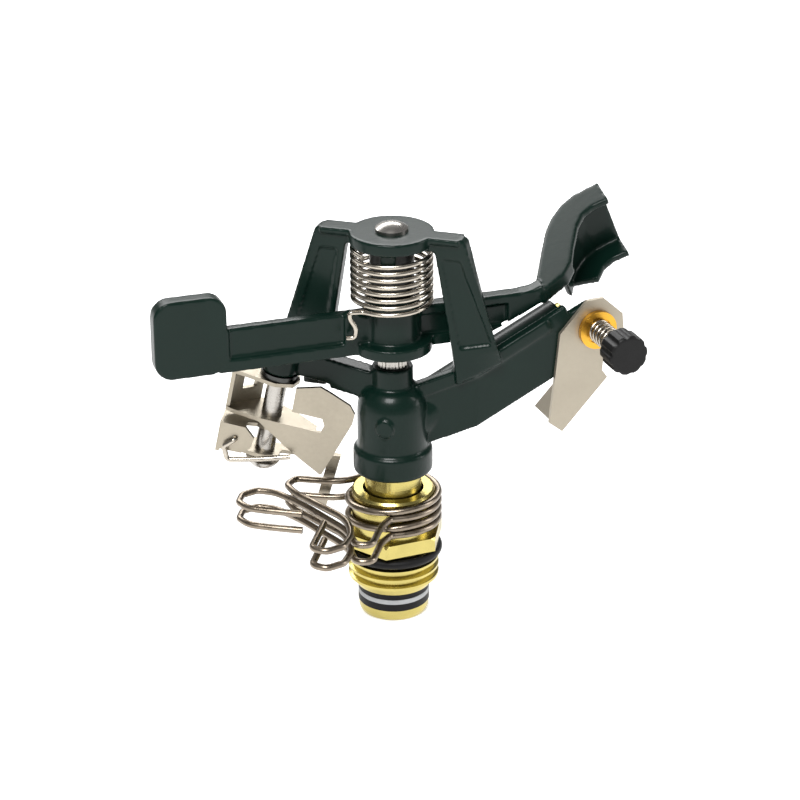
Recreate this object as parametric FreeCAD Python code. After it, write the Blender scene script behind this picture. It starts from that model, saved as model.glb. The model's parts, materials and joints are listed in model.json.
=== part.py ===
"""Part-circle impact sprinkler head with a 1/2 inch male thread.

Lengths are millimetres and +Z is up.  Every piece is drawn with its heights counted
from the lower end of the inlet nipple, and is then lowered so that the origin is the
middle of the inlet thread.  +X is the plan direction of the barrel.
"""
import FreeCAD, Part
import math
import os

os.makedirs("parts", exist_ok=True)

V = FreeCAD.Vector
UP = V(0, 0, 1)
ORIGIN = V(0, 0, 0)

# fits
RUN_GAP = 0.06          # radial clearance of a turning fit
FACE_GAP = 0.1          # axial clearance between faces that turn on each other
SHEET_GAP = 0.1         # clearance beside sheet parts
FREE_GAP = 0.4          # clearance between wires that pass each other

# inlet nipple
THREAD_R = 10.48        # 1/2 inch pipe thread, over the crests
THREAD_DEPTH = 1.16
THREAD_LOW = 1.2
THREAD_HIGH = 7.6
THREAD_TURNS = 3
THREAD_STEP = (THREAD_HIGH - THREAD_LOW) / THREAD_TURNS
CREST_LOW = 0.75        # lower and upper edge of a crest, above the start of its turn
CREST_HIGH = 1.35
THREAD_MIDDLE = THREAD_LOW + (CREST_LOW + (THREAD_TURNS - 1) * THREAD_STEP + CREST_HIGH) / 2
HEX_FLATS = 21.0
HEX_LOW = 10.8
HEX_HIGH = 14.1
NIPPLE_TOP = 23.8
NIPPLE_R = 9.55         # plain upper part that carries the trip clips
SEAL_NECK_R = 9.2
SEAL_R = 11.3
SEAT_Z = 12.0           # floor of the spring pocket
POCKET_R = 7.0

# bearing
TUBE_R = 4.6
TUBE_BORE_R = 3.6
TUBE_TOP = 40.0
FLANGE_R = 8.1
FLANGE_T = 2.8
LOWER_RUBBER_T = 1.8
NYLON_T = 1.1
UPPER_RUBBER_T = 1.6
WASHER_R = 8.25
SEAT_WASHER_T = 0.6
BEARING_WIRE = 0.9
BEARING_MEAN_R = 5.35
BEARING_TURNS = 7
SLEEVE_R = 6.5
SLEEVE_WALL = 0.45
SLEEVE_LOW = 14.5

# body casting, upright parts
SKIRT_R = 9.1
SKIRT_LOW = 28.7
SKIRT_HIGH = 34.5
SKIRT_WALL = 1.6
HUB_R = 8.1
DOME_LOW = 43.6
NECK_R = 4.7
NECK_LOW = 49.6
NECK_TOP = 54.5
BRIDGE_AZIMUTH = -39.0
BRIDGE_HALF = 17.5      # axis to the outer top corner of a leg
BRIDGE_TOP = 86.9
BRIDGE_BAR_T = 3.6
BRIDGE_BAR_W = 5.4
LEG_T = 3.4
LEG_TOP_W = 7.2
LEG_FOOT_Z = 57.6
LEG_FOOT_IN = 14.4
LEG_FOOT_OUT = 26.4
LEG_RIM = 1.4           # raised border round the panel of a leg
LEG_RECESS = 0.55
LEG_RIB_IN = 15.3
LEG_RIB_OUT = 20.8
LEG_RIB_LOW = 48.0
DISC_R = 9.5
DISC_T = 2.8
WING_W = 4.6
WING_H = 7.0

# barrel
BARREL_ANGLE = 25.0
BARREL_Z0 = 38.5        # height at which the barrel axis meets the vertical axis
BARREL_R = 5.8
BARREL_BORE_R = 3.4
BARREL_END = 46.5       # along the barrel
WALL_OUT = 9.5          # barrel plane to the outer face of the side wall
WALL_T = 2.2
WALL_LOW = -5.8
WALL_HIGH = 8.6
RIM_H = 3.0
RIM_T = 0.5
RIM_SHORT = 5.5         # the rim stops this far before the barrel does
RIM_END = BARREL_END - RIM_SHORT
FLARE_X = 16.8
PIVOT_PAST = 4.0        # deflector pivot, past the end of the barrel
PIVOT_J = BARREL_END + PIVOT_PAST
PIVOT_BOSS_R = 6.4
NOZZLE_R = 4.3
NOZZLE_BORE_R = 2.1
NOZZLE_L = 9.0

# swinging arm
PIN_R = 2.0
PIN_HEAD_R = 3.7
PIN_HEAD_H = 2.0
PIN_LOW = 50.5
ARM_AZIMUTH = -4.0
ARM_SWUNG = 16.0        # angle the stored arm stands off its stop
ARM_LOW = 58.7
ARM_TOP = 68.6
ARM_T = 4.0
ARM_HUB_R = 6.2
ARM_HUB_TOP = 72.5
ARM_DISC_R = 9.0
ARM_DISC_T = 2.7
ARM_RAIL_H = 3.0
ARM_RECESS = 1.1
PADDLE_IN = 38.5
PADDLE_OUT = 55.0
PADDLE_TOP = 77.0
PADDLE_ROUND = 4.0
ARM_BORE_R = 3.2
BUSH_FLANGE_R = 5.0
LOWER_BUSH_R = 3.5
SPOON_SHEET = 1.6
SPOON_TOP_N = 13.5      # upper face of the spoon above the barrel axis
SPOON_LOW_N = -4.4
SPOON_OVER_N = 10.0     # underside of the parts that pass over the barrel
SPOON_SHORT = 2.0       # the deep part of the spoon starts this far before the barrel's length
SPOON_DROP_X = BARREL_END - SPOON_SHORT
ARM_BAR_SHORT = 9.0     # the straight bar ends this far before the deep part
ARM_RISE_X = 20.5       # the underside rises with the barrel from here

# arm spring
ARM_SPRING_R = 8.8
ARM_SPRING_WIRE = 1.1
ARM_SPRING_LOW = 70.0
ARM_SPRING_HIGH = 83.0
ARM_SPRING_TURNS = 8

# trip clips
CLIP_WIRE = 1.6
CLIP_R = NIPPLE_R + RUN_GAP + CLIP_WIRE / 2
CLIP_STEP = CLIP_WIRE + FREE_GAP
CLIP_BEND_R = 2.0
UPPER_CLIP_Z = 22.7     # upper wire of the upper clip
LOWER_CLIP_Z = UPPER_CLIP_Z - CLIP_STEP - CLIP_WIRE - 1.5 * FREE_GAP

# trip pin and the two sheet parts on it
TRIP_AZIMUTH = 150.0
TRIP_RADIUS = 26.8
TRIP_Z = 46.8
TRIP_TILT = 11.6
TRIP_PIN_R = 2.3
TRIP_HEAD_R = 4.3
TRIP_BOSS_R = 4.0
TRIP_BOSS_LOW = 4.9     # the next levels run up the pin from its reference point
TRIP_BOSS_HIGH = 11.0
TRIP_HEAD_TOP = -17.6
SHEET_T = 0.9
BRACKET_UP = 2.8
BRACKET_DOWN = -6.1
BRACKET_FRONT = 4.2
LEVER_UP = -8.4
LEVER_DOWN = -16.2
LEVER_FRONT = 6.0
TOGGLE_WIRE = 1.2
FINGER_REACH = 16.0
FINGER_BACK = -6.0
FINGER_LOW = -29.0
FINGER_W = 2.6

# deflector and diffuser screw
DEFLECTOR_T = 0.9
DEFLECTOR_FLAP = 13.0
DEFLECTOR_BUSH_R = 3.2
DEFLECTOR_RING_R = 4.5
SCREW_R = 1.5
SCREW_TIP_Y = -2.7
KNOB_R = 4.7
KNOB_L = 6.0
KNOB_Y = -21.5
KNOB_LOBES = 10
KNOB_SPRING_WIRE = 0.7
KNOB_SPRING_R = 2.4


def cyl(radius, low, high):
    """Upright cylinder on the vertical axis."""
    return Part.makeCylinder(radius, high - low, V(0, 0, low))


def ring(outer, inner, low, high):
    """Upright ring on the vertical axis."""
    return cyl(outer, low, high).cut(cyl(inner, low - 1, high + 1))


def prism(points, low, high):
    """Outline in X and Y, drawn up from low to high."""
    corners = [V(x, y, low) for x, y in points]
    face = Part.Face(Part.makePolygon(corners + corners[:1]))
    return face.extrude(V(0, 0, high - low))


def slab(points, y_low, y_high):
    """Outline in X and Z, drawn along Y."""
    corners = [V(x, y_low, z) for x, z in points]
    face = Part.Face(Part.makePolygon(corners + corners[:1]))
    return face.extrude(V(0, y_high - y_low, 0))


def box(x0, x1, y0, y1, z0, z1):
    return Part.makeBox(x1 - x0, y1 - y0, z1 - z0, V(x0, y0, z0))


def turned(shape, angle, axis=UP, centre=ORIGIN):
    """Copy of a shape, turned about a line."""
    copy = shape.copy()
    copy.rotate(centre, axis, angle)
    return copy


def revolved(points):
    """Solid of revolution about the vertical axis from (radius, height) points."""
    corners = [V(r, 0, z) for r, z in points]
    face = Part.Face(Part.makePolygon(corners + corners[:1]))
    return face.revolve(ORIGIN, UP, 360)


def joined(shapes):
    """One solid from touching shapes."""
    whole = shapes[0].multiFuse(shapes[1:]).removeSplitter()
    return whole.Solids[0] if len(whole.Solids) == 1 else whole


def on_barrel(shape):
    """Place a shape drawn with X along the barrel and Z square to it."""
    copy = shape.copy()
    turn = FreeCAD.Rotation(V(0, 1, 0), -BARREL_ANGLE)
    copy.Placement = FreeCAD.Placement(V(0, 0, BARREL_Z0), turn).multiply(copy.Placement)
    return copy


def on_trip_pin(shape):
    """Place a shape drawn with Z up the trip pin and X from the pin to the hub."""
    outward = math.radians(TRIP_AZIMUTH)
    radial = V(math.cos(outward), math.sin(outward), 0)
    tilt = math.radians(TRIP_TILT)
    along = UP * math.cos(tilt) - radial * math.sin(tilt)
    inward = (radial * math.cos(tilt) + UP * math.sin(tilt)) * -1
    across = along.cross(inward)
    place = FreeCAD.Matrix(
        inward.x, across.x, along.x, radial.x * TRIP_RADIUS,
        inward.y, across.y, along.y, radial.y * TRIP_RADIUS,
        inward.z, across.z, along.z, TRIP_Z)
    copy = shape.copy()
    copy.Placement = FreeCAD.Placement(place).multiply(copy.Placement)
    return copy


def bent_wire(corners, bend_r, wire_r):
    """Round wire of straight runs and tangent arcs.  Gentle turns get the largest arc that fits."""
    edges = []
    cursor = corners[0]
    for before, corner, after in zip(corners, corners[1:], corners[2:]):
        back = before - corner
        ahead = after - corner
        shorter = min(back.Length, ahead.Length)
        back.normalize()
        ahead.normalize()
        half_turn = (math.pi - back.getAngle(ahead)) / 2
        reach = 0.46 * shorter
        if half_turn > math.radians(20):
            reach = min(reach, bend_r * math.tan(half_turn))
        arc_r = reach / math.tan(half_turn)
        inward = back + ahead
        inward.normalize()
        middle = corner + inward * (arc_r / math.cos(half_turn) - arc_r)
        start = corner + back * reach
        end = corner + ahead * reach
        edges.append(Part.LineSegment(cursor, start).toShape())
        edges.append(Part.Arc(start, middle, end).toShape())
        cursor = end
    edges.append(Part.LineSegment(cursor, corners[-1]).toShape())
    circle = Part.makeCircle(wire_r, corners[0], corners[1] - corners[0])
    return Part.Wire(edges).makePipeShell([Part.Wire([circle])], True, False)


def coil_corners(radius, low, high, turns, start=0.0, per_turn=12):
    """Corners of the bent path that makes a coil climbing from low to high."""
    count = round(turns * per_turn)
    reach = radius / math.cos(math.pi / per_turn)
    corners = []
    for k in range(count + 1):
        angle = math.radians(start) + 2 * math.pi * k / per_turn
        corners.append(V(reach * math.cos(angle), reach * math.sin(angle), low + (high - low) * k / count))
    return corners


def make_inlet_nipple():
    thread_root = THREAD_R - THREAD_DEPTH
    outline = [(0, 0), (thread_root - 0.5, 0), (thread_root, THREAD_LOW)]
    for k in range(THREAD_TURNS):
        base = THREAD_LOW + k * THREAD_STEP
        outline += [(thread_root, base + 0.25), (THREAD_R, base + CREST_LOW),
                    (THREAD_R, base + CREST_HIGH), (thread_root, base + 1.85)]
    outline += [(SEAL_NECK_R, THREAD_HIGH), (SEAL_NECK_R, HEX_LOW), (NIPPLE_R, HEX_LOW),
                (NIPPLE_R, NIPPLE_TOP - 0.5), (NIPPLE_R - 0.5, NIPPLE_TOP), (0, NIPPLE_TOP)]
    body = revolved(outline)
    corner = HEX_FLATS / 2 / math.cos(math.radians(30))
    hexagon = [(corner * math.cos(math.radians(60 * k)), corner * math.sin(math.radians(60 * k)))
               for k in range(6)]
    nut = prism(hexagon, HEX_LOW, HEX_HIGH)
    chamfer = Part.makeCone(corner + 1.6, corner - 0.5, HEX_HIGH - HEX_LOW, V(0, 0, HEX_LOW))
    body = body.fuse(nut.common(chamfer))
    body = body.cut(cyl(TUBE_R + RUN_GAP, -1, NIPPLE_TOP))
    return body.cut(cyl(POCKET_R, SEAT_Z, NIPPLE_TOP + 1)).removeSplitter()


def make_thread_seal():
    """Round-section ring that sits in the neck above the thread."""
    section_r = (SEAL_R - SEAL_NECK_R) / 2
    return Part.makeTorus(SEAL_NECK_R + section_r, section_r, V(0, 0, THREAD_HIGH + section_r), UP)


def make_bearing_tube():
    flange_top = -(LOWER_RUBBER_T + NYLON_T + UPPER_RUBBER_T + FACE_GAP)
    flange_low = flange_top - FLANGE_T
    outline = [(TUBE_BORE_R, flange_low), (FLANGE_R - 1.2, flange_low),
               (FLANGE_R - 0.35, flange_low + 0.35), (FLANGE_R, flange_low + 1.2),
               (FLANGE_R, flange_top), (TUBE_R, flange_top), (TUBE_R, TUBE_TOP),
               (TUBE_BORE_R, TUBE_TOP)]
    return revolved(outline)


def flange_washer(thickness, low):
    return ring(WASHER_R, TUBE_R, low, low + thickness)


def make_bearing_spring():
    half = BEARING_WIRE / 2
    low = SEAT_Z + SEAT_WASHER_T + 0.3 + half
    high = SKIRT_HIGH - SKIRT_WALL - half - 0.05
    return bent_wire(coil_corners(BEARING_MEAN_R, low, high, BEARING_TURNS), BEARING_MEAN_R, half)


def hub_shape():
    profile = [(0, SKIRT_LOW), (SKIRT_R - 0.5, SKIRT_LOW), (SKIRT_R, SKIRT_LOW + 0.5),
               (SKIRT_R, SKIRT_HIGH - 0.4), (SKIRT_R - 0.4, SKIRT_HIGH), (HUB_R, SKIRT_HIGH)]
    dome_h = NECK_LOW - DOME_LOW
    for k in range(7):
        a = math.radians(90 * k / 6)
        profile.append((NECK_R + (HUB_R - NECK_R) * math.cos(a), DOME_LOW + dome_h * math.sin(a)))
    profile += [(NECK_R, NECK_TOP), (0, NECK_TOP)]
    return revolved(profile)


def side_wall():
    """Wall on one side of the barrel, flared from the hub, with a rim along its top."""
    inner = WALL_OUT - WALL_T
    plan = [(2.5, -2.4), (FLARE_X, -WALL_OUT), (60, -WALL_OUT), (60, -inner),
            (FLARE_X + 0.5, -inner), (3.5, -0.6)]
    rim_plan = [(2.5, -2.4 - RIM_T), (FLARE_X - 0.2, -WALL_OUT - RIM_T), (60, -WALL_OUT - RIM_T),
                (60, -inner), (FLARE_X + 0.5, -inner), (3.5, -0.6)]
    depth = 12.0
    band = on_barrel(box(0, BARREL_END, -depth, 0, WALL_LOW, WALL_HIGH))
    rim = on_barrel(box(0, RIM_END, -depth, 0, WALL_HIGH - RIM_H, WALL_HIGH))
    tall = 90.0
    wall = prism(plan, 0, tall).common(band)
    edge = prism(rim_plan, 0, tall).common(rim)
    return wall.fuse(edge)


def barrel_floor():
    plan = [(2.5, -2.4), (FLARE_X, -WALL_OUT), (60, -WALL_OUT), (60, 0), (0, 0)]
    floor_t = 2.0
    band = on_barrel(box(0, BARREL_END, -12, 0, WALL_LOW, WALL_LOW + floor_t))
    return prism(plan, 0, 90).common(band)


def pivot_end():
    """Rounded end of the side wall, which carries the deflector."""
    inner = WALL_OUT - WALL_T
    plate = box(BARREL_END - 3, PIVOT_J, -WALL_OUT, -inner, WALL_LOW, PIVOT_BOSS_R)
    round_end = Part.makeCylinder(PIVOT_BOSS_R, WALL_T, V(PIVOT_J, -WALL_OUT, 0), V(0, 1, 0))
    web = box(BARREL_END - 2.2, BARREL_END, -inner - 0.5, -3, WALL_LOW, BARREL_R - 0.8)
    return on_barrel(plate.fuse(round_end).fuse(web))


def left_leg():
    """Leg on the bridge plane, drawn with X outward."""
    top_in = BRIDGE_HALF - LEG_TOP_W
    outline = [(top_in, BRIDGE_TOP - BRIDGE_BAR_T), (LEG_FOOT_IN, LEG_FOOT_Z), (LEG_RIB_IN, LEG_FOOT_Z - 2),
               (LEG_RIB_IN, LEG_RIB_LOW), (LEG_RIB_OUT, LEG_RIB_LOW), (LEG_RIB_OUT, LEG_FOOT_Z - 4),
               (LEG_FOOT_OUT, LEG_FOOT_Z - 2), (LEG_FOOT_OUT, LEG_FOOT_Z),
               (BRIDGE_HALF, BRIDGE_TOP - 0.8), (BRIDGE_HALF - 1, BRIDGE_TOP),
               (top_in, BRIDGE_TOP)]
    panel = [(top_in + LEG_RIM + 0.4, BRIDGE_TOP - BRIDGE_BAR_T - LEG_RIM),
             (LEG_FOOT_IN + LEG_RIM, LEG_FOOT_Z + LEG_RIM),
             (LEG_FOOT_OUT - 2 * LEG_RIM, LEG_FOOT_Z + LEG_RIM),
             (BRIDGE_HALF - LEG_RIM + 0.3, BRIDGE_TOP - BRIDGE_BAR_T - LEG_RIM)]
    leg = slab(outline, -LEG_T / 2, LEG_T / 2)
    for near in (LEG_T / 2 - LEG_RECESS, -LEG_T / 2 - 1):
        leg = leg.cut(slab(panel, near, near + 1 + LEG_RECESS))
    return turned(leg, BRIDGE_AZIMUTH + 180)


def right_leg():
    """Leg that twists from the bridge plane onto the side wall."""
    a = math.radians(BRIDGE_AZIMUTH)
    out = V(math.cos(a), math.sin(a), 0)
    side = V(-math.sin(a), math.cos(a), 0) * (LEG_T / 2)
    top_in = out * (BRIDGE_HALF - LEG_TOP_W)
    top_out = out * BRIDGE_HALF
    top_z = V(0, 0, BRIDGE_TOP - BRIDGE_BAR_T)
    knee_in = V(11.2, -8.1, 58.4)
    knee_out = V(20.6, -11.8, 59.7)
    foot_in = V(12.2, -7.9, 51.0)
    foot_out = V(22.2, -10.6, 55.8)
    foot_side = V(0.3, 1.25, 0)
    upper = [top_in - side + top_z, top_out + out * 0.6 - side + top_z,
             top_out + out * 0.6 + side + top_z, top_in + side + top_z]
    knee = [knee_in - foot_side, knee_out - foot_side, knee_out + foot_side, knee_in + foot_side]
    lower = [foot_in - foot_side, foot_out - foot_side, foot_out + foot_side, foot_in + foot_side]
    wires = [Part.makePolygon(loop + loop[:1]) for loop in (lower, knee, upper)]
    leg = Part.makeLoft(wires, True, True)
    panels = []
    for inner, outer, flank in ((knee_in, knee_out, foot_side), (top_in + top_z, top_out + top_z, side)):
        across = outer - inner
        across.normalize()
        lift = V(0, 0, LEG_RIM if inner is knee_in else -LEG_RIM)
        corners = (inner + across * LEG_RIM + lift, outer - across * LEG_RIM + lift)
        skin = flank * (1 - LEG_RECESS / flank.Length)
        loop = [corners[0] - flank * 1.5, corners[1] - flank * 1.5, corners[1] - skin, corners[0] - skin]
        panels.append(Part.makePolygon(loop + loop[:1]))
    return leg.cut(Part.makeLoft(panels, True, True))


def bridge_top():
    """Bar across the top with the round plate in its middle."""
    low = BRIDGE_TOP - BRIDGE_BAR_T
    half = BRIDGE_BAR_W / 2
    bar = box(-BRIDGE_HALF + 1.4, BRIDGE_HALF - 1.4, -half, half, low, BRIDGE_TOP)
    bar = bar.cut(box(-60, 60, -half - 1, -LEG_T / 2, low - 1, BRIDGE_TOP - 1.3))
    bar = bar.cut(box(-60, 60, LEG_T / 2, half + 1, low - 1, BRIDGE_TOP - 1.3))
    bar = turned(bar, BRIDGE_AZIMUTH)
    corner = turned(slab([(BRIDGE_HALF - LEG_TOP_W, low), (BRIDGE_HALF - LEG_TOP_W, BRIDGE_TOP),
                          (BRIDGE_HALF - 1.2, BRIDGE_TOP), (BRIDGE_HALF - 0.3, BRIDGE_TOP - 0.5),
                          (BRIDGE_HALF + 0.1, BRIDGE_TOP - 1.5), (BRIDGE_HALF + 0.6, low)],
                         -LEG_T / 2, LEG_T / 2), BRIDGE_AZIMUTH)
    disc = cyl(DISC_R, BRIDGE_TOP - DISC_T, BRIDGE_TOP)
    tab = turned(box(6.6, 8.0, -1.7, 1.7, BRIDGE_TOP - DISC_T - 3.2, BRIDGE_TOP - 1), -118)
    return [bar, corner, disc, tab]


def trip_wing():
    """Ribbed wing from the hub out to the trip pin's boss."""
    boss = on_trip_pin(cyl(TRIP_BOSS_R, TRIP_BOSS_LOW, TRIP_BOSS_HIGH))
    rise = math.tan(math.radians(12))
    inner_z = 45.6
    reach = 24.0
    outline = [(3, inner_z), (reach, inner_z + rise * reach), (reach, inner_z + rise * reach + WING_H),
               (3, inner_z + WING_H)]
    wing = slab(outline, -WING_W / 2, WING_W / 2)
    groove = slab([(9.5, inner_z + 2 * rise + 3.6), (13.8, inner_z + rise * 9 + 3.6),
                   (13.8, inner_z + rise * 9 + 4.8), (9.5, inner_z + 2 * rise + 4.8)],
                  -WING_W, -WING_W / 2 + 0.6)
    wing = turned(wing.cut(groove), TRIP_AZIMUTH - 4)
    clear = on_trip_pin(cyl(TRIP_BOSS_R + 8, TRIP_BOSS_LOW - 12, TRIP_BOSS_LOW))
    return [boss, wing.cut(clear)]


def make_body_casting():
    tube = on_barrel(Part.makeCylinder(BARREL_R, BARREL_END, ORIGIN, V(1, 0, 0)))
    tube = tube.cut(box(-20, 0, -20, 20, 0, 90))
    cast_boss = Part.makeCylinder(2.1, HUB_R + 0.6, V(0, 0, 42.0), V(-0.57, -0.82, 0))
    pieces = [hub_shape(), tube, side_wall(), barrel_floor(), pivot_end(), left_leg(), right_leg(),
              cast_boss]
    body = joined(pieces + bridge_top() + trip_wing())
    skirt_in = SKIRT_R - SKIRT_WALL
    body = body.cut(cyl(skirt_in, SKIRT_LOW - 1, SKIRT_HIGH - SKIRT_WALL))
    body = body.cut(cyl(TUBE_R, SKIRT_LOW, TUBE_TOP))
    body = body.cut(cyl(TUBE_BORE_R, TUBE_TOP - 0.5, TUBE_TOP + 3))
    waterway = Part.makeCylinder(BARREL_BORE_R, BARREL_END - NOZZLE_L, ORIGIN, V(1, 0, 0))
    body = body.cut(on_barrel(waterway).cut(cyl(TUBE_R, SKIRT_LOW, TUBE_TOP)))
    body = body.cut(on_barrel(Part.makeCylinder(NOZZLE_R, NOZZLE_L + 1, V(BARREL_END - NOZZLE_L, 0, 0),
                                                V(1, 0, 0))))
    body = body.cut(cyl(PIN_R, PIN_LOW, BRIDGE_TOP + 1))
    body = body.cut(on_trip_pin(cyl(TRIP_PIN_R, TRIP_BOSS_LOW - 1, TRIP_BOSS_HIGH - 1.5)))
    bush_hole = Part.makeCylinder(DEFLECTOR_BUSH_R, 6, V(PIVOT_J, -WALL_OUT - 1, 0), V(0, 1, 0))
    return body.cut(on_barrel(bush_hole))


def make_nozzle():
    start = BARREL_END - NOZZLE_L
    body = Part.makeCylinder(NOZZLE_R, NOZZLE_L + 1.2, V(start, 0, 0), V(1, 0, 0))
    entry = Part.makeCone(BARREL_BORE_R, NOZZLE_BORE_R, NOZZLE_L - 3, V(start, 0, 0), V(1, 0, 0))
    mouth = Part.makeCylinder(NOZZLE_BORE_R, NOZZLE_L + 3, V(start, 0, 0), V(1, 0, 0))
    return on_barrel(body.cut(entry).cut(mouth))


def make_fulcrum_pin():
    head = Part.makeCylinder(PIN_HEAD_R, 0.7, V(0, 0, BRIDGE_TOP))
    ball_r = (PIN_HEAD_R ** 2 + (PIN_HEAD_H - 0.7) ** 2) / (2 * (PIN_HEAD_H - 0.7))
    dome_z = BRIDGE_TOP + PIN_HEAD_H - ball_r
    dome = Part.makeSphere(ball_r, V(0, 0, dome_z)).common(
        cyl(PIN_HEAD_R, BRIDGE_TOP + 0.7, BRIDGE_TOP + PIN_HEAD_H + 1))
    return joined([cyl(PIN_R, PIN_LOW, BRIDGE_TOP), head, dome])


def arm_bar():
    """Straight part of the arm, drawn with X along it, and the paddle at its left end."""
    near = -ARM_T / 2
    far = ARM_T / 2
    slope = math.tan(math.radians(BARREL_ANGLE))
    end = SPOON_DROP_X - ARM_BAR_SHORT
    right = [(0, ARM_LOW), (ARM_RISE_X, ARM_LOW), (end, ARM_LOW + (end - ARM_RISE_X) * slope),
             (end, ARM_TOP + 1.3), (end - 2.5, ARM_TOP + 0.3), (end - 5.5, ARM_TOP), (0, ARM_TOP)]
    left = [(0, ARM_LOW), (0, ARM_TOP), (-PADDLE_IN - 2, ARM_TOP), (-PADDLE_IN - 2, ARM_LOW)]
    bar = slab(right, near, far).fuse(slab(left, near, far))
    bar = bar.cut(box(-PADDLE_IN + 0.4, 0, near - 1, near + ARM_RECESS, ARM_LOW + ARM_RAIL_H, ARM_TOP + 1))
    bar = bar.cut(box(0, 27, near - 1, near + ARM_RECESS, ARM_LOW + 2.5, ARM_TOP - 2.2))
    paddle = box(-PADDLE_OUT, -PADDLE_IN, near, far, ARM_LOW, PADDLE_TOP)
    upright = [edge for edge in paddle.Edges
               if abs(edge.Vertexes[0].Y - edge.Vertexes[1].Y) > ARM_T / 2]
    return bar.fuse(paddle.makeFillet(PADDLE_ROUND, upright))


def thick_line(points, thickness):
    """Closed outline of a strip on the right-hand side of a line of points."""
    inner = []
    for k, point in enumerate(points):
        before = points[max(k - 1, 0)]
        after = points[min(k + 1, len(points) - 1)]
        run = (after[0] - before[0], after[1] - before[1])
        size = math.hypot(*run)
        inner.append((point[0] + run[1] / size * thickness, point[1] - run[0] / size * thickness))
    return points + inner[::-1]


def spoon():
    """Curved water spoon, drawn with the arm on its stop and the jet along the barrel axis."""
    near = [(-13.0, -13.9), (-5.9, -14.3), (-2.4, -12.4), (1.2, -8.9), (6.2, -4.5), (9.7, -2.6),
            (12.5, -2.8), (15.6, -4.6)]
    far = [(-11.6, -10.5), (-7.3, -6.6), (-3.2, -2.8), (1.6, 1.4), (4.9, 3.5), (9.3, 5.0),
           (12.8, 4.9), (15.8, 3.7), (18.5, 2.5)]
    shift = SPOON_TOP_N * math.sin(math.radians(BARREL_ANGLE))
    stretch = math.cos(math.radians(BARREL_ANGLE))
    drop = (SPOON_DROP_X + shift) / stretch
    near = [(drop + x / stretch, y) for x, y in near]
    far = [(drop + x / stretch, y) for x, y in far]
    top = prism(far + near[::-1], SPOON_TOP_N - SPOON_SHEET, SPOON_TOP_N)
    web = prism(thick_line(far, SPOON_SHEET), SPOON_LOW_N, SPOON_TOP_N)
    web = web.cut(box(0, drop, -40, 40, SPOON_LOW_N - 1, SPOON_OVER_N))
    near_web = prism(thick_line(near[:3], -2.2), SPOON_OVER_N, SPOON_TOP_N)
    bottom = prism(far[3:] + near[4:][::-1], SPOON_LOW_N, SPOON_LOW_N + SPOON_SHEET)
    whole = top.multiFuse([web, near_web, bottom])
    return turned(on_barrel(whole), ARM_SWUNG)


def make_arm_casting():
    bar = turned(arm_bar(), ARM_AZIMUTH)
    hub = cyl(ARM_HUB_R, ARM_LOW, ARM_HUB_TOP)
    disc = cyl(ARM_DISC_R, ARM_LOW, ARM_LOW + ARM_DISC_T)
    ear = turned(slab([(-11.6, ARM_LOW + ARM_RAIL_H), (-11.6, ARM_TOP - 0.4), (-10.6, ARM_TOP + 0.9),
                       (-9.2, ARM_TOP + 0.9), (-8.0, ARM_TOP - 0.4), (-5.0, ARM_TOP - 1.4),
                       (-5.0, ARM_LOW + ARM_RAIL_H)], -ARM_T / 2, 0), ARM_AZIMUTH)
    whole = joined([bar, hub, disc, ear, spoon()])
    return whole.cut(cyl(ARM_BORE_R, ARM_LOW - 1, ARM_HUB_TOP + 1)).removeSplitter()


def make_arm_lower_bush():
    low = NECK_TOP + FACE_GAP
    knurled = []
    notches = 24
    for k in range(notches * 2):
        r = LOWER_BUSH_R - (0.25 if k % 2 else 0)
        a = math.pi * k / notches
        knurled.append((r * math.cos(a), r * math.sin(a)))
    flange = prism(knurled, low, ARM_LOW)
    whole = flange.fuse(cyl(ARM_BORE_R, ARM_LOW - 0.5, ARM_LOW + 5))
    return whole.cut(cyl(PIN_R + RUN_GAP, low - 1, ARM_LOW + 6)).removeSplitter()


def make_arm_upper_bush():
    high = BRIDGE_TOP - BRIDGE_BAR_T - 0.3
    whole = cyl(BUSH_FLANGE_R, ARM_HUB_TOP, high).fuse(cyl(ARM_BORE_R, ARM_HUB_TOP - 5, ARM_HUB_TOP + 0.5))
    return whole.cut(cyl(PIN_R + RUN_GAP, ARM_HUB_TOP - 6, high + 1)).removeSplitter()


def make_arm_spring():
    """Torsion spring with its lower end bent down into the arm's ear."""
    coil = coil_corners(ARM_SPRING_R, ARM_SPRING_LOW, ARM_SPRING_HIGH, ARM_SPRING_TURNS, 203.0)
    foot = [V(-12.2, -3.0, 64.2), V(-10.3, -3.5, 64.1), V(-10.0, -3.6, 66.4), V(-11.4, -3.2, 68.8),
            V(-11.4, -3.2, 70.2)]
    return bent_wire(foot + coil, 1.3, ARM_SPRING_WIRE / 2)


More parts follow.
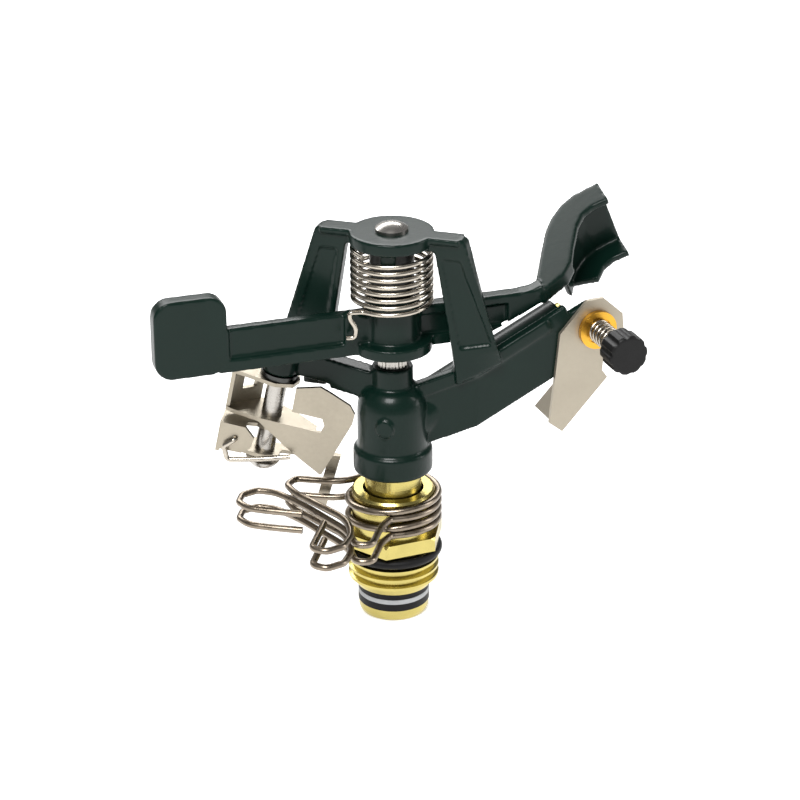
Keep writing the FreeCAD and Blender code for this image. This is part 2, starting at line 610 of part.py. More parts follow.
def make_trip_clip(top):
    """Trip clip: finger loop, one and two thirds turns of coil, then the grip a step lower."""
    low = top - CLIP_STEP
    finger_end = [(-20.6, -9.4), (-27.4, -19.6), (-25.0, -22.4), (-20.6, -21.6), (-16.8, -17.0),
                  (-15.2, -9.6), (-21.4, 7.6), (-21.6, 12.2), (-18.6, 14.4), (-11.0, 9.6)]
    grip_end = [(-7.9, -12.2), (-13.0, -19.7), (-16.4, -18.6), (-15.7, -11.4), (-20.7, 5.9),
                (-24.1, 13.2), (-27.6, 15.8), (-31.6, 15.0), (-33.6, 11.8), (-32.6, 8.0), (-28.6, 4.8),
                (-22.2, 0.5)]
    per_turn = 12
    reach = CLIP_R / math.cos(math.pi / per_turn)
    first_flat = 7
    drop_end = 12
    last = 20
    coil = []
    for k in range(last + 1):
        angle = math.radians(125 - 30 * k)
        fall = min(max((k - first_flat) / (drop_end - first_flat), 0), 1)
        coil.append(V(reach * math.cos(angle), reach * math.sin(angle), top - CLIP_STEP * fall))
    finger = [V(x, y, top) for x, y in finger_end]
    grip = [V(x, y, low) for x, y in grip_end]
    return bent_wire(finger + coil + grip, CLIP_BEND_R, CLIP_WIRE / 2)


def make_trip_pin():
    shaft = cyl(TRIP_PIN_R, TRIP_HEAD_TOP, TRIP_BOSS_HIGH - 1.5)
    head = Part.makeSphere(TRIP_HEAD_R, V(0, 0, TRIP_HEAD_TOP + 1.6)).common(
        cyl(TRIP_HEAD_R, TRIP_HEAD_TOP - 3, TRIP_HEAD_TOP))
    return on_trip_pin(joined([shaft, head]))


def make_trip_pin_washer():
    low = BRACKET_UP + SHEET_T + SHEET_GAP
    return on_trip_pin(ring(TRIP_HEAD_R, TRIP_PIN_R, low, TRIP_BOSS_LOW))


def face_on(points, y_back, thickness):
    """Sheet outline in X and Z, drawn toward the viewer side (negative Y)."""
    return slab(points, y_back - thickness, y_back)


def make_trip_bracket():
    """Sheet bracket: two flanges on the pin, a back web and the front plate."""
    hole = cyl(TRIP_PIN_R + RUN_GAP, -30, 30)
    back_edge = [(-4.4, 6.7), (-10.3, 0.2), (-10.4, -2.0)]
    upper = prism(back_edge + [(-9.4, -2.8), (0, -5.0), (4.0, -3.2), (5.0, 0), (4.0, 4.0), (0, 6.0)],
                  BRACKET_UP, BRACKET_UP + SHEET_T)
    front = -BRACKET_FRONT
    lower = prism(back_edge + [(-9.0, -2.8), (-2.2, front), (11.0, front), (11.0, -1.2), (5.0, 3.6),
                               (0, 6.0)], BRACKET_DOWN - SHEET_T, BRACKET_DOWN)
    web = prism(back_edge + [(-9.5, -2.0), (-9.4, -0.4), (-3.6, 6.0)],
                BRACKET_DOWN - SHEET_T, BRACKET_UP + SHEET_T)
    window = turned(box(-2.0, 2.0, -3, 3, -2.6, 1.6), 48, UP, ORIGIN)
    window.translate(V(-6.6, 3.2, 0))
    plate = face_on([(-2.2, BRACKET_DOWN), (4.6, BRACKET_DOWN), (12.2, BRACKET_DOWN), (12.8, -4.2),
                     (12.0, -2.6), (4.9, -2.6), (4.8, 3.3), (10.2, 5.0), (12.8, 4.1), (17.6, 2.2),
                     (19.0, 0.4), (18.9, -2.2), (14.4, -16.4), (14.0, -16.6), (8.9, -13.9),
                     (4.5, -11.4), (2.5, -10.0), (-2.2, BRACKET_DOWN - SHEET_T)],
                    front + SHEET_T, SHEET_T)
    whole = joined([upper, lower, web, plate])
    return on_trip_pin(whole.cut(hole).cut(window).removeSplitter())


def make_trip_lever():
    """Sheet channel on the pin below the bracket, with the finger that the clips push."""
    hole = cyl(TRIP_PIN_R + RUN_GAP, -30, 30)
    left = -10.6
    front = -LEVER_FRONT
    upper = prism([(left, 3.0), (left, front + 1), (left + 1, front), (-4.6, front), (-4.6, -3.0),
                   (-2.4, -2.3), (-0.6, -2.9), (1.4, -2.8), (3.4, -1.4), (3.8, 1.5), (2.0, 3.8),
                   (-2.0, 4.2)], LEVER_UP - SHEET_T, LEVER_UP)
    lower = prism([(left, 3.0), (left, -2.6), (0, -3.8), (3.6, -2.2), (4.0, 2.0), (3.0, 3.9),
                   (-2.0, 4.2)], LEVER_DOWN, LEVER_DOWN + SHEET_T)
    web = box(left, left + SHEET_T, front + 0.8, 3.0, LEVER_DOWN, LEVER_UP)
    ear = face_on([(left + 0.4, LEVER_UP), (-4.6, LEVER_UP), (-2.3, LEVER_UP - 2.2),
                   (-2.6, LEVER_UP - 5.0), (-4.6, LEVER_UP - 6.6), (left + 0.4, LEVER_UP - 6.8)],
                  front + SHEET_T, SHEET_T)
    ear = ear.cut(Part.makeCylinder(0.7, 4, V(-6.4, front - 1, LEVER_UP - 3.2), V(0, 1, 0)))
    back = -FINGER_BACK
    arm = prism([(2.0, 3.9), (2.6, 0.6), (FINGER_REACH + FINGER_W / 2, back - 1.4),
                 (FINGER_REACH + FINGER_W / 2, back), (FINGER_REACH - FINGER_W / 2, back)],
                LEVER_DOWN, LEVER_DOWN + SHEET_T)
    lean = (FINGER_LOW - LEVER_DOWN) * math.tan(math.radians(TRIP_TILT)) * -1
    finger = slab([(FINGER_REACH - FINGER_W / 2, LEVER_DOWN + SHEET_T),
                   (FINGER_REACH + FINGER_W / 2, LEVER_DOWN + SHEET_T),
                   (FINGER_REACH + FINGER_W / 2 - lean * 0.35, FINGER_LOW),
                   (FINGER_REACH - FINGER_W / 2 - lean * 0.35, FINGER_LOW)],
                  back - SHEET_T, back)
    whole = joined([upper, lower, web, ear, arm, finger])
    return on_trip_pin(whole.cut(hole).removeSplitter())


def make_toggle_spring():
    """Over-centre wire from the lever's ear to the back of the bracket's plate."""
    front = -LEVER_FRONT - 0.9
    path = [V(-6.4, front + 1.4, LEVER_UP - 3.2), V(-6.4, front, LEVER_UP - 3.2),
            V(-8.6, front, LEVER_UP - 5.4), V(-7.2, front, LEVER_UP - 8.6),
            V(0.5, front + 0.4, LEVER_UP - 6.6), V(6.8, front + 1.0, LEVER_UP - 4.6)]
    return on_trip_pin(bent_wire(path, 1.0, TOGGLE_WIRE / 2))


def make_deflector_bush():
    seat = -WALL_OUT
    plate_gap = SHEET_GAP * 2 + DEFLECTOR_T
    inner_end = WALL_OUT - WALL_T
    barrel = Part.makeCylinder(DEFLECTOR_BUSH_R, WALL_T + plate_gap, V(PIVOT_J, seat - plate_gap, 0),
                               V(0, 1, 0))
    flange = Part.makeCylinder(DEFLECTOR_RING_R, 1.2, V(PIVOT_J, seat - plate_gap - 1.2, 0), V(0, 1, 0))
    dish = Part.makeCylinder(KNOB_SPRING_R + KNOB_SPRING_WIRE, 0.6, V(PIVOT_J, seat - plate_gap - 1.2, 0),
                             V(0, 1, 0))
    bore = Part.makeCylinder(SCREW_R + RUN_GAP, 20, V(PIVOT_J, -inner_end - 15, 0), V(0, 1, 0))
    return on_barrel(barrel.fuse(flange).cut(dish).cut(bore).removeSplitter())


def make_deflector_plate():
    y_back = -WALL_OUT - SHEET_GAP
    outline = [(51.3, 7.5), (55.1, 5.8), (57.6, -0.3), (56.4, -3.8), (48.6, -8.6), (47.6, -10.4),
               (48.0, -12.7), (32.9, -18.7), (31.1, -15.0), (42.3, 3.8)]
    plate = slab(outline, y_back - DEFLECTOR_T, y_back)
    edge = [(48.0, -12.7), (32.9, -18.7)]
    run = math.hypot(edge[1][0] - edge[0][0], edge[1][1] - edge[0][1])
    step = ((edge[0][1] - edge[1][1]) / run * DEFLECTOR_T, (edge[0][0] - edge[1][0]) / run * DEFLECTOR_T)
    strip = [edge[0], edge[1], (edge[1][0] - step[0], edge[1][1] + step[1]),
             (edge[0][0] - step[0], edge[0][1] + step[1])]
    flap = slab(strip, y_back - DEFLECTOR_T, y_back + DEFLECTOR_FLAP)
    hole = Part.makeCylinder(DEFLECTOR_BUSH_R + RUN_GAP, 6, V(PIVOT_J, y_back - 3, 0), V(0, 1, 0))
    return on_barrel(plate.fuse(flap).cut(hole).removeSplitter())


def make_diffuser_screw():
    tip = Part.makeCone(SCREW_R, 0.5, 1.5, V(PIVOT_J, SCREW_TIP_Y - 1.5, 0), V(0, 1, 0))
    rod_start = KNOB_Y - KNOB_L + 1.5
    rod = Part.makeCylinder(SCREW_R, SCREW_TIP_Y - 1.5 - rod_start, V(PIVOT_J, rod_start, 0), V(0, 1, 0))
    return on_barrel(rod.fuse(tip).removeSplitter())


def make_diffuser_knob():
    body = Part.makeCylinder(KNOB_R, KNOB_L, ORIGIN, V(0, -1, 0))
    rim = [e for e in body.Edges if abs(e.Length - 2 * math.pi * KNOB_R) < 0.01]
    body = body.makeFillet(0.7, rim)
    for k in range(KNOB_LOBES):
        a = 2 * math.pi * k / KNOB_LOBES
        centre = V((KNOB_R + 0.5) * math.cos(a), 1, (KNOB_R + 0.5) * math.sin(a))
        body = body.cut(Part.makeCylinder(0.95, KNOB_L + 2, centre, V(0, -1, 0)))
    hole_l = KNOB_L - 1.5
    body = body.cut(Part.makeCylinder(SCREW_R, hole_l, ORIGIN, V(0, -1, 0)))
    body.translate(V(PIVOT_J, KNOB_Y, 0))
    return on_barrel(body)


def make_diffuser_spring():
    half = KNOB_SPRING_WIRE / 2
    seat = -WALL_OUT - SHEET_GAP * 2 - DEFLECTOR_T - 0.6
    low = seat - half - 0.3
    high = KNOB_Y + half + 0.02
    points = []
    for p in coil_corners(KNOB_SPRING_R, low, high, 6):
        points.append(V(PIVOT_J + p.x, p.z, p.y))
    return on_barrel(bent_wire(points, KNOB_SPRING_R, half))


lower_rubber_low = -(LOWER_RUBBER_T + NYLON_T + UPPER_RUBBER_T + FACE_GAP)

NODES = {
    "inlet_nipple": make_inlet_nipple(),
    "thread_seal_washer": make_thread_seal(),
    "flange_washer_upper": ring(WASHER_R, TUBE_R + 3 * RUN_GAP, -UPPER_RUBBER_T, 0),
    "spring_seat_washer": ring(POCKET_R, TUBE_R + 3 * RUN_GAP, SEAT_Z, SEAT_Z + SEAT_WASHER_T),
    "bearing_tube": make_bearing_tube(),
    "flange_washer_lower": flange_washer(LOWER_RUBBER_T, lower_rubber_low),
    "nylon_washer": flange_washer(NYLON_T, lower_rubber_low + LOWER_RUBBER_T),
    "bearing_spring": make_bearing_spring(),
    "bearing_sleeve": ring(SLEEVE_R, SLEEVE_R - SLEEVE_WALL, SLEEVE_LOW, SKIRT_HIGH - SKIRT_WALL),
    "body_casting": make_body_casting(),
    "nozzle": make_nozzle(),
    "fulcrum_pin": make_fulcrum_pin(),
    "trip_pin": make_trip_pin(),
    "trip_pin_washer": make_trip_pin_washer(),
    "deflector_bush": make_deflector_bush(),
    "arm_casting": make_arm_casting(),
    "arm_upper_bush": make_arm_upper_bush(),
    "arm_lower_bush": make_arm_lower_bush(),
    "arm_spring": make_arm_spring(),
    "trip_clip_upper": make_trip_clip(UPPER_CLIP_Z),
    "trip_clip_lower": make_trip_clip(LOWER_CLIP_Z),
    "trip_bracket": make_trip_bracket(),
    "trip_lever": make_trip_lever(),
    "toggle_spring": make_toggle_spring(),
    "deflector_plate": make_deflector_plate(),
    "diffuser_spring": make_diffuser_spring(),
    "diffuser_screw": make_diffuser_screw(),
    "diffuser_knob": make_diffuser_knob(),
}

for name, shape in NODES.items():
    shape.translate(V(0, 0, -THREAD_MIDDLE))
    shape.exportStep("parts/" + name + ".step")
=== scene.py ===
"""Looks of an impact sprinkler head, laid out as an add-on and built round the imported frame."""
import json
import math

import bpy
from mathutils import Matrix, Vector

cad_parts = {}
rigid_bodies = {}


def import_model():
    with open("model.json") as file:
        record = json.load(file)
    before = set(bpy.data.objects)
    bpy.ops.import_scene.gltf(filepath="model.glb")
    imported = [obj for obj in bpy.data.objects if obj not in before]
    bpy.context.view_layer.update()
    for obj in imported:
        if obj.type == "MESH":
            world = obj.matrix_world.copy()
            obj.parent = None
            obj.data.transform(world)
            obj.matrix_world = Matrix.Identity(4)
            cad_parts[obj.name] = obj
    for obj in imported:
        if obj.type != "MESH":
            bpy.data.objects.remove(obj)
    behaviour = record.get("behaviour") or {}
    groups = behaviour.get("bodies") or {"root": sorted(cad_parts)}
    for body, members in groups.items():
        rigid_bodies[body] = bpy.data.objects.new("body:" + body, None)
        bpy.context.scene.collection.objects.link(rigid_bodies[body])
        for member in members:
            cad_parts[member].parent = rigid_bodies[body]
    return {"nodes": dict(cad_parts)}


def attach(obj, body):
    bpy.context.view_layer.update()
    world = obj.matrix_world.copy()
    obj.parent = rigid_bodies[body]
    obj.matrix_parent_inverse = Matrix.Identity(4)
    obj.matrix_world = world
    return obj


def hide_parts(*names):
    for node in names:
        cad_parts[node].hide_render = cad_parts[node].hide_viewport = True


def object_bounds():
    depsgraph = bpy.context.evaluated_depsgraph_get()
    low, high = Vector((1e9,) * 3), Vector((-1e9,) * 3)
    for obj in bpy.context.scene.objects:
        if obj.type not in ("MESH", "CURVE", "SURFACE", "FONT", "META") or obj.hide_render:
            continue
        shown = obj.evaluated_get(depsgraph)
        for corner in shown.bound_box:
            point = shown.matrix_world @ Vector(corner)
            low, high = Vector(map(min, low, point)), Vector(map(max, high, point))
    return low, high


bl_info = {
    "name": "Impact sprinkler head",
    "version": (1, 0, 0),
    "blender": (4, 5, 0),
    "location": "3D View > Sidebar > Sprinkler",
    "description": "Gives the packed sprinkler head its castings, finishes and studio",
    "category": "Object",
}

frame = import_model()
cad_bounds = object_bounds()

SENSOR_WIDTH = 36.0         # of the camera, in millimetres
MERGE_DISTANCE = 0.000002   # corners of a frame mesh nearer than this are one
SOFTENING = 0.5             # share of each smoothing pass
# name, place and width and height in metres, and power in watts
LIGHTS = (("key_light", (-0.35, -0.45, 0.80), (0.40, 0.40), 13.0),
          ("fill_light", (0.80, -0.30, 0.35), (0.25, 0.60), 3.0),
          ("back_light", (0.10, 0.70, 0.55), (0.9, 0.25), 6.0))


class CastingSizes(bpy.types.PropertyGroup):
    """Sizes of the rounded castings."""
    grain: bpy.props.FloatProperty(
        name="Casting grain", description="Size of the facets that a casting is rebuilt from",
        default=0.00036, min=0.0002, max=0.002, unit="LENGTH")
    arm_grain: bpy.props.FloatProperty(
        name="Arm grain", description="Size of the facets that the swinging arm is rebuilt from",
        default=0.00034, min=0.0002, max=0.002, unit="LENGTH")
    rounding: bpy.props.IntProperty(
        name="Rounding", description="How often the edges of a casting are smoothed",
        default=5, min=0, max=40)


class KnobSizes(bpy.types.PropertyGroup):
    """Sizes of the adjusting knob."""
    grain: bpy.props.FloatProperty(
        name="Knob grain", description="Size of the facets that the knob is rebuilt from",
        default=0.00013, min=0.00008, max=0.001, unit="LENGTH")
    rounding: bpy.props.IntProperty(
        name="Rounding", description="How often the knob's edges are smoothed", default=7, min=0, max=40)


def colour_property(name, description, default):
    return bpy.props.FloatVectorProperty(name=name, description=description, default=default,
                                         subtype="COLOR", size=3, min=0.0, max=1.0)


class Finishes(bpy.types.PropertyGroup):
    """Colours and gloss of the materials."""
    enamel: colour_property("Enamel", "Green of the two castings", (0.0016, 0.0088, 0.0060))
    enamel_gloss: bpy.props.FloatProperty(
        name="Enamel roughness", description="Roughness of the enamel under its clear coat",
        default=0.34, min=0.0, max=1.0, subtype="FACTOR")
    brass: colour_property("Brass", "Colour of the turned brass", (0.50, 0.42, 0.14))
    gilt: colour_property("Gold ring", "Colour of the gold-plated deflector ring", (0.70, 0.38, 0.05))
    sheet: colour_property("Sheet", "Colour of the stainless sheet parts", (0.33, 0.295, 0.235))
    wire: colour_property("Clip wire", "Colour of the trip clips", (0.24, 0.20, 0.155))
    spring: colour_property("Spring wire", "Colour of the springs", (0.44, 0.40, 0.34))
    pin: colour_property("Pins", "Colour of the steel pins", (0.42, 0.40, 0.37))
    bush: colour_property("Bushes", "Colour of the dark arm bushes", (0.07, 0.07, 0.068))
    rubber: colour_property("Rubber", "Colour of the rubber washers", (0.005, 0.005, 0.0055))
    nylon: colour_property("Nylon", "Colour of the bearing washer", (0.33, 0.34, 0.35))
    knob: colour_property("Knob", "Colour of the moulded knob", (0.006, 0.006, 0.006))


class StageSettings(bpy.types.PropertyGroup):
    """Camera, floor and lights."""
    distance: bpy.props.FloatProperty(
        name="Camera distance", description="From the camera to the point that it looks at",
        default=0.65, unit="LENGTH")
    azimuth: bpy.props.FloatProperty(
        name="Camera azimuth", description="Direction of the camera, counted from +X",
        default=math.radians(-112.0), subtype="ANGLE")
    elevation: bpy.props.FloatProperty(
        name="Camera elevation", description="Height of the camera above the object",
        default=math.radians(24.78), subtype="ANGLE")
    roll: bpy.props.FloatProperty(
        name="Camera roll", description="Turn of the camera about its own line of sight",
        default=math.radians(-0.28), subtype="ANGLE")
    lens: bpy.props.FloatProperty(
        name="Lens", description="Focal length in millimetres", default=128.9, unit="CAMERA")
    target: bpy.props.FloatVectorProperty(
        name="Target", description="Point that the camera looks at",
        default=(0.00155, -0.00063, 0.04122), subtype="TRANSLATION", unit="LENGTH")
    floor: colour_property("Floor", "Colour of the plain floor", (0.90, 0.90, 0.90))
    floor_size: bpy.props.FloatProperty(
        name="Floor size", description="Width of the square floor", default=6.0, unit="LENGTH")
    floor_glow: bpy.props.FloatProperty(
        name="Floor glow", description="Light that the white floor gives off",
        default=0.45, min=0.0, max=1.0, subtype="FACTOR")
    sky: bpy.props.FloatProperty(
        name="Sky", description="Brightness of the white surroundings",
        default=0.27, min=0.0, max=1.0, subtype="FACTOR")


SETTINGS = (("sprinkler_castings", CastingSizes), ("sprinkler_knob", KnobSizes),
            ("sprinkler_finishes", Finishes), ("sprinkler_stage", StageSettings))


class Level:
    """A shader socket that can be used in Python expressions."""

    def __init__(self, shader, socket):
        self.shader = shader
        self.socket = socket

    def joined(self, operation, first, second):
        return self.shader.add("ShaderNodeMath", {"operation": operation}, {0: first, 1: second})

    def __add__(self, other):
        return self.joined("ADD", self, other)

    def __radd__(self, other):
        return self.joined("ADD", other, self)

    def __sub__(self, other):
        return self.joined("SUBTRACT", self, other)

    def __rsub__(self, other):
        return self.joined("SUBTRACT", other, self)

    def __mul__(self, other):
        return self.joined("MULTIPLY", self, other)

    def __rmul__(self, other):
        return self.joined("MULTIPLY", other, self)


class Finish:
    """A material on Object coordinates, with one way of adding nodes."""

    def __init__(self, name):
        self.material = bpy.data.materials.new(name)
        self.material.use_nodes = True
        self.tree = self.material.node_tree
        self.tree.nodes.clear()
        self.place = self.add("ShaderNodeTexCoord", {}, {}, "Object")

    def add(self, kind, settings, sockets, output=0):
        node = self.tree.nodes.new(kind)
        for key, value in settings.items():
            if key == "stops":
                for index, (position, colour) in enumerate(value):
                    stops = node.color_ramp.elements
                    stop = stops[index] if index < len(stops) else stops.new(position)
                    stop.position = position
                    stop.color = (*colour, 1.0)
            else:
                setattr(node, key, value)
        for key, value in sockets.items():
            if isinstance(value, Level):
                self.tree.links.new(value.socket, node.inputs[key])
            elif isinstance(value, (tuple, Vector)) and len(value) == 3 and node.inputs[key].type == "RGBA":
                node.inputs[key].default_value = (*value, 1.0)
            else:
                node.inputs[key].default_value = value
        if not node.outputs:
            return None
        return Level(self, node.outputs[output])

    def noise(self, scale, detail=3.0, place=None):
        """Soft cloudy pattern from 0 to 1; scale counts its patches in a metre."""
        return self.add("ShaderNodeTexNoise", {}, {"Vector": place or self.place, "Scale": scale,
                                                   "Detail": detail}, "Fac")

    def stretched(self, scale):
        """Object coordinates with each axis drawn out or pressed together."""
        return self.add("ShaderNodeMapping", {"vector_type": "POINT"},
                        {"Vector": self.place, "Scale": scale}, "Vector")

    def tinted(self, amount, dark, light):
        """Colour between two, by a level from 0 to 1."""
        return self.add("ShaderNodeMix", {"data_type": "RGBA"},
                        {"Factor": amount, 6: dark, 7: light}, 2)

    def ridged(self, height, depth, strength=1.0):
        """Surface direction under a relief; depth in metres."""
        return self.add("ShaderNodeBump", {}, {"Height": height, "Distance": depth,
                                               "Strength": strength}, "Normal")

    def finished(self, **sockets):
        """Closes the material with a Principled shader; underscores stand for spaces."""
        named = {key.replace("_", " "): value for key, value in sockets.items()}
        surface = self.add("ShaderNodeBsdfPrincipled", {}, named, "BSDF")
        self.add("ShaderNodeOutputMaterial", {}, {"Surface": surface})
        return self.material


def shade(colour, factor):
    return tuple(min(channel * factor, 1.0) for channel in colour)


def enamel_finish(looks):
    """Thick gloss enamel over a casting: a slight orange peel and faint cloudiness."""
    finish = Finish("green_enamel")
    cloud = finish.noise(90.0, 2.0)
    colour = finish.tinted(cloud, shade(looks.enamel, 0.86), shade(looks.enamel, 1.22))
    fine = finish.noise(2600.0, 2.0)
    peel = finish.noise(620.0, 2.0)
    return finish.finished(
        Base_Color=colour, Roughness=looks.enamel_gloss + 0.10 * (fine - 0.5),
        Normal=finish.ridged(peel + 0.25 * fine, 0.00005, 0.5),
        Coat_Weight=0.12, Coat_Roughness=0.14, Specular_IOR_Level=0.12)


def turned_metal_finish(name, colour, rings, roughness):
    """Turned bar metal: fine rings round the upright axis and soft stains."""
    finish = Finish(name)
    lines = finish.noise(1.0, 3.0, finish.stretched((40.0, 40.0, rings)))
    stain = finish.noise(260.0, 4.0)
    tone = finish.tinted(stain, shade(colour, 0.74), shade(colour, 1.06))
    return finish.finished(
        Base_Color=tone, Metallic=1.0, Roughness=roughness + 0.16 * (stain - 0.5) + 0.10 * (lines - 0.5),
        Normal=finish.ridged(lines, 0.00003, 0.6))


def sheet_finish(looks):
    """Rolled stainless sheet: warm mottling and fine rolling grain."""
    finish = Finish("stainless_sheet")
    mottle = finish.noise(900.0, 5.0)
    cloud = finish.noise(120.0, 3.0)
    grain = finish.noise(1.0, 3.0, finish.stretched((500.0, 500.0, 5200.0)))
    colour = finish.tinted(0.55 * mottle + 0.45 * cloud, shade(looks.sheet, 0.72), shade(looks.sheet, 1.2))
    return finish.finished(
        Base_Color=colour, Metallic=1.0, Roughness=0.40 + 0.22 * (mottle - 0.5),
        Normal=finish.ridged(mottle + 0.5 * grain, 0.00004, 0.45))


def deflector_finish(looks):
    """Sheet of the deflector, with warm mottling and a soft cloudy tone."""
    finish = Finish("deflector_sheet")
    mottle = finish.noise(1100.0, 5.0)
    cloud = finish.noise(110.0, 3.0)
    colour = finish.tinted(0.5 * mottle + 0.5 * cloud, shade(looks.sheet, 0.86), shade(looks.sheet, 1.2))
    return finish.finished(
        Base_Color=colour, Metallic=0.85, Roughness=0.46 + 0.2 * (mottle - 0.5),
        Normal=finish.ridged(mottle, 0.00005, 0.5))


def wire_finish(name, colour, roughness):
    """Drawn spring wire with slightly uneven oxide."""
    finish = Finish(name)
    oxide = finish.noise(700.0, 4.0)
    tone = finish.tinted(oxide, shade(colour, 0.62), shade(colour, 1.18))
    return finish.finished(Base_Color=tone, Metallic=1.0, Roughness=roughness + 0.2 * (oxide - 0.5),
                           Normal=finish.ridged(oxide, 0.00003, 0.4))


def moulded_finish(name, colour, roughness, relief=0.00003):
    """Moulded plastic or rubber with a fine dull grain."""
    finish = Finish(name)
    grain = finish.noise(3000.0, 3.0)
    cloud = finish.noise(300.0, 2.0)
    tone = finish.tinted(cloud, shade(colour, 0.8), shade(colour, 1.3))
    return finish.finished(Base_Color=tone, Roughness=roughness + 0.14 * (grain - 0.5),
                           Normal=finish.ridged(grain, relief, 0.5), Specular_IOR_Level=0.16)


def needed(done, what):
    if "FINISHED" not in done:
        raise RuntimeError("could not finish: " + what)


def only(piece):
    """Makes one object the only selected and active one."""
    bpy.ops.object.select_all(action="DESELECT")
    piece.select_set(True)
    bpy.context.view_layer.objects.active = piece


def coated(node, material):
    """Gives a frame node its material in every slot."""
    piece = frame["nodes"][node]
    slots = piece.material_slots
    if not slots:
        raise RuntimeError("no material slot on " + node)
    for held in slots:
        held.material = material


def rounded_copy(node, name, grain, rounding, material):
    """Copy of a frame node, rebuilt from small facets with its edges rounded as a mould leaves them."""
    only(frame["nodes"][node])
    needed(bpy.ops.object.duplicate(), "copy of " + node)
    piece = bpy.context.view_layer.objects.active
    piece.name = name
    piece.data.name = name
    bpy.ops.object.parent_clear(type="CLEAR_KEEP_TRANSFORM")
    bpy.ops.object.mode_set(mode="EDIT")
    bpy.ops.mesh.select_all(action="SELECT")
    bpy.ops.mesh.remove_doubles(threshold=MERGE_DISTANCE)
    bpy.ops.object.mode_set(mode="OBJECT")
    rebuild = piece.modifiers.new("rebuild", "REMESH")
    rebuild.mode = "VOXEL"
    rebuild.voxel_size = grain
    soften = piece.modifiers.new("soften", "SMOOTH")
    soften.factor = SOFTENING
    soften.iterations = rounding
    for modifier in ("rebuild", "soften"):
        needed(bpy.ops.object.modifier_apply(modifier=modifier), modifier + " on " + name)
    bpy.ops.object.shade_smooth()
    piece.data.materials.clear()
    piece.data.materials.append(material)
    return piece


class SPRINKLER_OT_castings(bpy.types.Operator):
    """Rounded, enamelled body and arm castings"""
    bl_idname = "sprinkler.castings"
    bl_label = "Castings"

    def execute(self, context):
        sizes = context.scene.sprinkler_castings
        enamel = enamel_finish(context.scene.sprinkler_finishes)
        for node, name, body, grain in (("body_casting", "body_skin", "head", sizes.grain),
                                        ("arm_casting", "arm_skin", "arm", sizes.arm_grain)):
            coated(node, enamel)
            piece = rounded_copy(node, name, grain, sizes.rounding, enamel)
            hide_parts(node)
            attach(piece, body)
        return {"FINISHED"}


class SPRINKLER_OT_brasswork(bpy.types.Operator):
    """Brass of the nipple, bearing tube, sleeve and nozzle, and the gold deflector ring"""
    bl_idname = "sprinkler.brasswork"
    bl_label = "Brasswork"

    def execute(self, context):
        looks = context.scene.sprinkler_finishes
        brass = turned_metal_finish("turned_brass", looks.brass, 5200.0, 0.24)
        for node in ("inlet_nipple", "bearing_tube", "bearing_sleeve", "nozzle"):
            coated(node, brass)
        coated("deflector_bush", turned_metal_finish("gold_plate", looks.gilt, 2600.0, 0.30))
        return {"FINISHED"}


class SPRINKLER_OT_springs(bpy.types.Operator):
    """Steel of the springs and trip clips"""
    bl_idname = "sprinkler.springs"
    bl_label = "Springs and clips"

    def execute(self, context):
        looks = context.scene.sprinkler_finishes
        bright = wire_finish("spring_wire", looks.spring, 0.24)
        for node in ("arm_spring", "diffuser_spring", "bearing_spring", "toggle_spring"):
            coated(node, bright)
        clip = wire_finish("clip_wire", looks.wire, 0.30)
        for node in ("trip_clip_upper", "trip_clip_lower"):
            coated(node, clip)
        return {"FINISHED"}


class SPRINKLER_OT_trip(bpy.types.Operator):
    """Stainless sheet of the trip and the deflector"""
    bl_idname = "sprinkler.trip"
    bl_label = "Trip and deflector"

    def execute(self, context):
        looks = context.scene.sprinkler_finishes
        sheet = sheet_finish(looks)
        for node in ("trip_bracket", "trip_lever"):
            coated(node, sheet)
        coated("deflector_plate", deflector_finish(looks))
        return {"FINISHED"}


class SPRINKLER_OT_fittings(bpy.types.Operator):
    """Pins, bushes and washers"""
    bl_idname = "sprinkler.fittings"
    bl_label = "Pins, bushes and washers"

    def execute(self, context):
        looks = context.scene.sprinkler_finishes
        pin = turned_metal_finish("pin_steel", looks.pin, 3000.0, 0.28)
        for node in ("fulcrum_pin", "trip_pin", "diffuser_screw", "spring_seat_washer", "arm_lower_bush"):
            coated(node, pin)
        bush = turned_metal_finish("bush_steel", looks.bush, 2400.0, 0.34)
        for node in ("arm_upper_bush", "trip_pin_washer"):
            coated(node, bush)
        rubber = moulded_finish("black_rubber", looks.rubber, 0.5)
        for node in ("thread_seal_washer", "flange_washer_upper", "flange_washer_lower"):
            coated(node, rubber)
        coated("nylon_washer", moulded_finish("grey_nylon", looks.nylon, 0.45))
        return {"FINISHED"}


class SPRINKLER_OT_knob(bpy.types.Operator):
    """Lobed black adjusting knob with soft edges"""
    bl_idname = "sprinkler.knob"
    bl_label = "Knob"

    def execute(self, context):
        sizes = context.scene.sprinkler_knob
        black = moulded_finish("black_plastic", context.scene.sprinkler_finishes.knob, 0.42, 0.00006)
        coated("diffuser_knob", black)
        piece = rounded_copy("diffuser_knob", "knob_skin", sizes.grain, sizes.rounding, black)
        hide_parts("diffuser_knob")
        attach(piece, "diffuser")
        return {"FINISHED"}


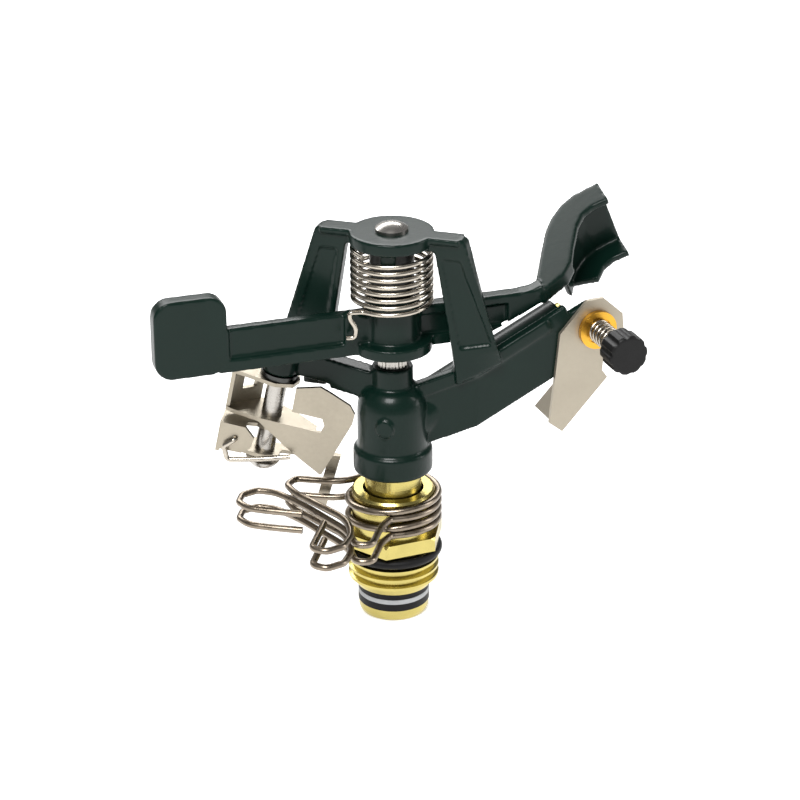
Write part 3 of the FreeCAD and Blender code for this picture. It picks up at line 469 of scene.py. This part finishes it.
class SPRINKLER_OT_stage(bpy.types.Operator):
    """Camera, pale floor and soft studio lights"""
    bl_idname = "sprinkler.stage"
    bl_label = "Stage"

    def light(self, name, place, size, power, target):
        """Adds a rectangular lamp that shines on the target."""
        bpy.ops.object.light_add(type="AREA", location=place)
        lamp = bpy.context.view_layer.objects.active
        lamp.name = name
        lamp.data.shape = "RECTANGLE"
        lamp.data.size, lamp.data.size_y = size
        lamp.data.energy = power
        lamp.rotation_euler = (target - Vector(place)).to_track_quat("-Z", "Y").to_euler()

    def execute(self, context):
        stage = context.scene.sprinkler_stage
        target = Vector(stage.target)
        flat = math.cos(stage.elevation)
        toward = Vector((math.cos(stage.azimuth) * flat, math.sin(stage.azimuth) * flat,
                         math.sin(stage.elevation)))
        bpy.ops.object.camera_add(location=target + toward * stage.distance)
        camera = bpy.context.view_layer.objects.active
        camera.name = "studio_camera"
        camera.data.lens = stage.lens
        camera.data.sensor_width = SENSOR_WIDTH
        camera.data.clip_start = 0.01
        look = (-toward).to_track_quat("-Z", "Y").to_matrix().to_4x4()
        turned = look @ Matrix.Rotation(stage.roll, 4, "Z")
        camera.rotation_euler = turned.to_euler()
        context.scene.camera = camera

        low = Vector(cad_bounds[0]).z
        bpy.ops.object.select_all(action="DESELECT")
        bpy.ops.mesh.primitive_plane_add(size=stage.floor_size, location=(0.0, 0.0, low))
        floor = bpy.context.view_layer.objects.active
        floor.name = "studio_floor"
        bpy.ops.object.transform_apply(location=True, rotation=True, scale=True)
        pale = Finish("pale_floor")
        cloud = pale.noise(3.0, 2.0)
        tone = pale.tinted(cloud, shade(stage.floor, 0.985), stage.floor[:])
        floor.data.materials.append(pale.finished(
            Base_Color=tone, Roughness=0.75, Emission_Color=tone, Emission_Strength=stage.floor_glow))

        for name, place, size, power in LIGHTS:
            self.light(name, place, size, power, target)

        world = bpy.data.worlds.new("studio_world")
        context.scene.world = world
        world.use_nodes = True
        sky = world.node_tree.nodes["Background"]
        sky.inputs["Color"].default_value = (1.0, 1.0, 1.0, 1.0)
        sky.inputs["Strength"].default_value = stage.sky
        context.scene.view_settings.view_transform = "Standard"
        return {"FINISHED"}


class SPRINKLER_PT_panel(bpy.types.Panel):
    """Lists the settings and the operators"""
    bl_idname = "SPRINKLER_PT_panel"
    bl_label = "Sprinkler head"
    bl_space_type = "VIEW_3D"
    bl_region_type = "UI"
    bl_category = "Sprinkler"

    def draw(self, context):
        for name, group in SETTINGS:
            settings = getattr(context.scene, name)
            column = self.layout.column(align=True)
            for key in group.__annotations__:
                column.prop(settings, key)
        for operator in OPERATORS:
            self.layout.operator(operator.bl_idname)


OPERATORS = (SPRINKLER_OT_castings, SPRINKLER_OT_brasswork, SPRINKLER_OT_springs, SPRINKLER_OT_trip,
             SPRINKLER_OT_fittings, SPRINKLER_OT_knob, SPRINKLER_OT_stage)


def register():
    for name, group in SETTINGS:
        bpy.utils.register_class(group)
        setattr(bpy.types.Scene, name, bpy.props.PointerProperty(type=group))
    for operator in OPERATORS:
        bpy.utils.register_class(operator)
    bpy.utils.register_class(SPRINKLER_PT_panel)


def unregister():
    bpy.utils.unregister_class(SPRINKLER_PT_panel)
    for operator in reversed(OPERATORS):
        bpy.utils.unregister_class(operator)
    for name, group in reversed(SETTINGS):
        delattr(bpy.types.Scene, name)
        bpy.utils.unregister_class(group)


def main():
    register()
    bpy.ops.sprinkler.castings()
    bpy.ops.sprinkler.brasswork()
    bpy.ops.sprinkler.springs()
    bpy.ops.sprinkler.trip()
    bpy.ops.sprinkler.fittings()
    bpy.ops.sprinkler.knob()
    bpy.ops.sprinkler.stage()


if __name__ == "__main__":
    main()
